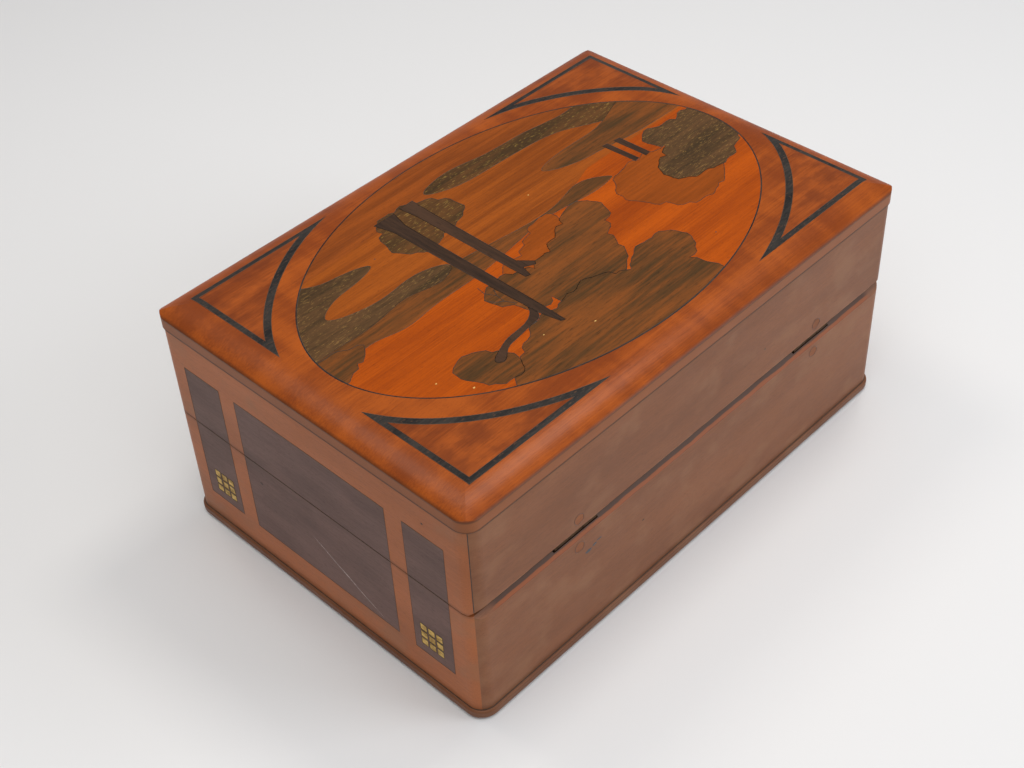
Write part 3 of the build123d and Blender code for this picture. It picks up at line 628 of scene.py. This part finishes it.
# both lines are painted shadow, drawn as dark lines in the joints
lineObject("top_joint_shadow_line", [topLoop], jointShadowLines["top"], "line", "lid", closed=True)
lineObject("bottom_joint_shadow_line", [bottomLoop], jointShadowLines["bottom"], "line", "base", closed=True)
print("joint and outline lines laid")


# mitre lines on the lid's rounded corners

mitreLook = {
    "radius": 0.11 * mm,
    "inset": 0.02 * mm,
    "frontStart": 0.3 * mm,       # above the seam
    "backStart": 1.2 * mm,        # clear of the groove
}


def mitreLine(name, wayX, wayY, low, high, body):
    reach = cornerR * cos(pi / 4) - mitreLook["inset"]
    x = wayX * (halfX - cornerR + reach)
    y = wayY * (halfY - cornerR + reach)
    ends = [Vector((x, y, low)), Vector((x, y, high))]
    lineObject(name, [ends], mitreLook["radius"], "line", body)


for wayX, sideX in ((1, "right"), (-1, "left")):
    for wayY, sideY in ((1, "back"), (-1, "front")):
        low = seamZ + mitreLook[sideY + "Start"]
        mitreLine(f"lid_mitre_{sideX}_{sideY}", wayX, wayY, low, wallTopZ, "lid")
print("mitres marked")


# plug rings and marks of age

ringLook = {"radius": 1.5 * mm, "line": 0.07 * mm, "wobble": 0.10, "steps": 20, "proud": 0.01 * mm}


def plugRings(nodeName, body):
    draw = random.Random(nodeName)
    xs = sorted(vertex.co.x for vertex in nodes[nodeName].data.vertices)
    centres = (xs[0] + ringLook["radius"], xs[-1] - ringLook["radius"])
    low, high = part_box(nodeName)
    y, z = high.y + ringLook["proud"], (low.z + high.z) / 2
    runs = []
    for x in centres:
        run = []
        for step in range(ringLook["steps"]):
            angle = 2 * pi * step / ringLook["steps"]
            reach = ringLook["radius"] * (1 + ringLook["wobble"] * draw.uniform(-1, 1))
            run.append(Vector((x + reach * cos(angle), y, z + reach * sin(angle))))
        runs.append(run)
    lineObject(nodeName + "_rings", runs, ringLook["line"], "ring", body, closed=True)


plugRings("lid_hinge_plugs", "lid")
plugRings("base_hinge_plugs", "base")

markShape = {"crown": 0.6, "nearest": 0.70, "corners": 11}


def mark(name, outline, place, acrossAxis, upAxis, lift, material, body):
    # a small patch with a crowned middle, set on the face that acrossAxis and upAxis span
    mesh = bmesh.new()
    outward = acrossAxis.cross(upAxis)
    centreA = sum(a for a, b in outline) / len(outline)
    centreB = sum(b for a, b in outline) / len(outline)
    crown = markShape["crown"]
    rim = [mesh.verts.new(place + acrossAxis * a * mm + upAxis * b * mm) for a, b in outline]
    inner = [
        mesh.verts.new(place + acrossAxis * (centreA + (a - centreA) * crown) * mm
                       + upAxis * (centreB + (b - centreB) * crown) * mm + outward * lift * mm)
        for a, b in outline
    ]
    count = len(outline)
    for i in range(count):
        mesh.faces.new((rim[i], rim[(i + 1) % count], inner[(i + 1) % count], inner[i]))
    mesh.faces.new(inner)
    mesh.faces.new(list(reversed(rim)))
    bmesh.ops.recalc_face_normals(mesh, faces=mesh.faces)
    data = bpy.data.meshes.new(name)
    mesh.to_mesh(data)
    mesh.free()
    piece = bpy.data.objects.new(name, data)
    bpy.context.scene.collection.objects.link(piece)
    data.materials.append(materials[material])
    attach(piece, body)


def blob(wide, high, seed):
    # an uneven round outline in mm
    draw = random.Random(seed)
    outline = []
    for step in range(markShape["corners"]):
        angle = 2 * pi * step / markShape["corners"]
        reach = draw.uniform(markShape["nearest"], 1.0)
        outline.append((wide / 2 * reach * cos(angle), high / 2 * reach * sin(angle)))
    return outline


# each mark: width and height, its two places on the face, all in mm, then finish and body
backMarks = {
    "bruise_a": (2.6, 1.2, 39.0, 27.7, "bruise", "base"),
    "bruise_b": (1.8, 0.8, 37.0, 28.3, "bruise", "base"),
    "bruise_c": (2.0, 0.6, 35.4, 28.8, "bruise", "base"),
    "dent_low": (0.9, 0.5, 20.0, 22.5, "knot", "base"),
    "dent_high": (0.8, 0.6, -24.0, 46.0, "softLine", "lid"),
}
topMarks = {
    "fleck_rim": (0.7, 0.5, 46.5, 25.0, "bare", "lid"),
    "fleck_sky": (0.5, 0.4, 51.0, 18.0, "bare", "lid"),
    "fleck_crown": (0.7, 0.3, 13.0, 30.0, "bare", "lid"),
    "fleck_leaves": (0.5, 0.3, 24.0, 24.5, "bare", "lid"),
    "fleck_lake": (0.5, 0.4, -12.0, -14.0, "bare", "lid"),
    "speck_lake": (0.6, 0.4, 30.0, -24.0, "knot", "lid"),
    "speck_sky": (0.5, 0.5, -30.0, 30.0, "knot", "lid"),
}
endMarks = {
    "knot_panel": (1.3, 0.9, -20.0, 29.0, "knot", "base"),
    "knot_rim": (0.8, 0.7, 37.0, 56.0, "knot", "lid"),
}
markLift = {"back": 0.04, "top": 0.02, "end": 0.03}      # mm

for markName, (wide, high, x, z, finish, body) in backMarks.items():
    place = Vector((x * mm, halfY, z * mm))
    mark(markName, blob(wide, high, markName), place, -right, up, markLift["back"], finish, body)
for markName, (wide, high, x, y, finish, body) in topMarks.items():
    place = Vector((x * mm, y * mm, topZ))
    mark(markName, blob(wide, high, markName), place, right, rearward, markLift["top"], finish, body)
for markName, (wide, high, y, z, finish, body) in endMarks.items():
    place = Vector((halfX, y * mm, z * mm))
    mark(markName, blob(wide, high, markName), place, rearward, up, markLift["end"], finish, body)

# one long scratch on the right end, in mm
scratchLook = {"from": (-3.0, 23.5), "to": (20.0, 12.0), "wide": 0.55, "tip": 0.05, "thinnest": 0.5,
               "waver": 0.15, "steps": 9, "lift": 0.02, "seed": 11}
draw = random.Random(scratchLook["seed"])
(startY, startZ), (endY, endZ) = scratchLook["from"], scratchLook["to"]
waver = scratchLook["waver"]
upper, lower = [], []
for step in range(scratchLook["steps"]):
    t = step / (scratchLook["steps"] - 1)
    y = startY + (endY - startY) * t
    z = startZ + (endZ - startZ) * t + draw.uniform(-waver, waver)
    wide = scratchLook["wide"] * (1 - abs(2 * t - 1) ** 2) * draw.uniform(scratchLook["thinnest"], 1.0)
    wide += scratchLook["tip"]
    upper.append((y, z + wide / 2))
    lower.append((y, z - wide / 2))
mark("panel_scratch", lower + upper[::-1], Vector((halfX, 0, 0)), rearward, up, scratchLook["lift"],
     "scuff", "base")
print("rings and marks made")


# floor, light and camera

stageLook = {"colour": (0.80, 0.81, 0.83), "rough": 0.6, "half": 3.0, "drop": 0.05 * mm}
half, drop = stageLook["half"], -stageLook["drop"]
floorMesh = bpy.data.meshes.new("floor")
floorCorners = [(-half, -half, drop), (half, -half, drop), (half, half, drop), (-half, half, drop)]
floorMesh.from_pydata(floorCorners, [], [(0, 1, 2, 3)])
floor = bpy.data.objects.new("floor", floorMesh)
bpy.context.scene.collection.objects.link(floor)
floorMaterial, _, floorBsdf = newMaterial("floor_card")
floorBsdf.inputs["Base Color"].default_value = (*stageLook["colour"], 1)
floorBsdf.inputs["Roughness"].default_value = stageLook["rough"]
floorMesh.materials.append(floorMaterial)

lightLook = {
    "overhead": {"at": (0.15, 0.17, 0.62), "size": 0.60, "watts": 2.0, "colour": (1.0, 0.985, 0.95)},
    "behind": {"at": (-0.24, 0.0, 0.58), "size": 0.15, "watts": 0.8, "colour": (1.0, 0.93, 0.84)},
    "left": {"at": (0.06, -0.28, 0.58), "size": 0.18, "watts": 0.60, "colour": (1.0, 0.90, 0.78)},
    "window": {"at": (-0.55, 0.75, 0.50), "size": 0.5, "watts": 3.4, "colour": (0.94, 0.97, 1.0)},
}
for lightName, look in lightLook.items():
    data = bpy.data.lights.new(lightName, "AREA")
    data.energy = look["watts"]
    data.color = look["colour"]
    data.size = look["size"]
    light = bpy.data.objects.new(lightName, data)
    light.location = look["at"]
    light.rotation_euler = Vector(look["at"]).to_track_quat("Z", "Y").to_euler()
    bpy.context.scene.collection.objects.link(light)

worldLook = {"colour": (0.96, 0.97, 1.0), "strength": 0.33}
world = bpy.data.worlds.new("studio")
world.use_nodes = True
background = world.node_tree.nodes["Background"]
background.inputs["Color"].default_value = (*worldLook["colour"], 1)
background.inputs["Strength"].default_value = worldLook["strength"]
bpy.context.scene.world = world
bpy.context.scene.view_settings.view_transform = "Standard"

cameraLook = {
    "at": (0.22076, 0.21515, 0.30226),
    "azimuth": 135.69,
    "elevation": 42.33,
    "roll": -3.15,
    "lens": 57.42,
    "sensor": 36.0,
    "near": 0.01,
}
azimuth, elevation = radians(cameraLook["azimuth"]), radians(cameraLook["elevation"])
back = Vector((sin(azimuth) * cos(elevation), -cos(azimuth) * cos(elevation), sin(elevation)))
side = (-back).cross(up).normalized()
over = side.cross(-back)
roll = radians(cameraLook["roll"])
cameraX = side * cos(roll) + over * sin(roll)
cameraY = over * cos(roll) - side * sin(roll)
turn = Matrix((cameraX, cameraY, back)).transposed()
cameraData = bpy.data.cameras.new("camera")
cameraData.lens = cameraLook["lens"]
cameraData.sensor_width = cameraLook["sensor"]
cameraData.clip_start = cameraLook["near"]
camera = bpy.data.objects.new("camera", cameraData)
camera.matrix_world = Matrix.Translation(cameraLook["at"]) @ turn.to_4x4()
bpy.context.scene.collection.objects.link(camera)
bpy.context.scene.camera = camera
print("stage set")
